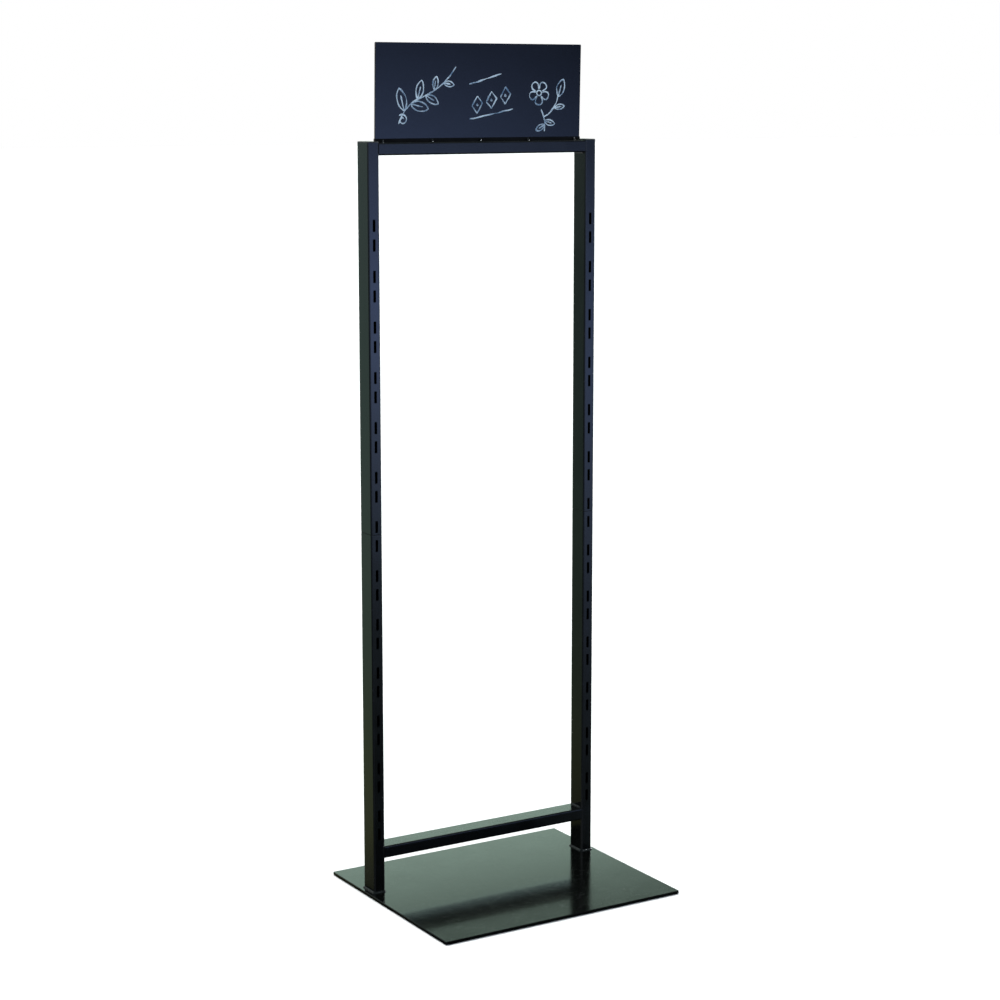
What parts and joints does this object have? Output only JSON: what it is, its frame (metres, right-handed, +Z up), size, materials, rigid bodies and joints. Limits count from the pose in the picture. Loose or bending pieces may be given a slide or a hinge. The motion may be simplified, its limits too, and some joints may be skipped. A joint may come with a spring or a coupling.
{
  "type": "sign stand",
  "caption": "Floor-standing sign stand: flat steel base plate, two slotted two-piece tube posts, a low and a top crossbar, and a dark chalkboard standing in a channel on top.",
  "frame": {"origin": "on the floor, under the centre of the base plate", "axes": "+X to the right and +Y to the back as seen from the front of the stand, +Z up"},
  "size_m": [0.554, 0.474, 1.7255],
  "materials": {
    "base_powder_coat": "smooth semi-gloss black powder coat",
    "frame_powder_coat": "satin black powder coat",
    "weld_powder_coat": "satin black powder coat over weld",
    "channel_powder_coat": "matt black powder coat",
    "spigot_steel": "satin black, rubbed where the post slides",
    "chalkboard": "matt dark chalkboard paint on hardboard",
    "cap_plastic": "fine-grained black moulded plastic",
    "rubber": "black rubber"
  },
  "bodies": {
    "lower_frame": {"base_plate": "base_powder_coat", "floor_pad_front_left": "rubber", "floor_pad_front_right": "rubber", "floor_pad_back_left": "rubber", "floor_pad_back_right": "rubber", "left_lower_post": "frame_powder_coat", "right_lower_post": "frame_powder_coat", "lower_crossbar": "frame_powder_coat", "left_joint_spigot": "spigot_steel", "right_joint_spigot": "spigot_steel", "left_foot_weld": "weld_powder_coat", "right_foot_weld": "weld_powder_coat", "left_lower_bar_weld": "weld_powder_coat", "right_lower_bar_weld": "weld_powder_coat"},
    "upper_frame": {"left_upper_post": "frame_powder_coat", "right_upper_post": "frame_powder_coat", "top_crossbar": "frame_powder_coat", "left_top_bar_weld": "weld_powder_coat", "right_top_bar_weld": "weld_powder_coat", "left_post_cap": "cap_plastic", "right_post_cap": "cap_plastic", "sign_channel": "channel_powder_coat", "channel_tack_welds": "weld_powder_coat"},
    "sign_board": {"sign_panel": "chalkboard"}
  },
  "joints": [
    {"name": "upper_frame_lift", "type": "slide", "parent": "lower_frame", "child": "upper_frame", "axis": [0, 0, 1], "range_m": [0, 0.06]},
    {"name": "sign_lift", "type": "slide", "parent": "upper_frame", "child": "sign_board", "axis": [0, 0, 1], "range_m": [0, 0.02]}
  ]
}
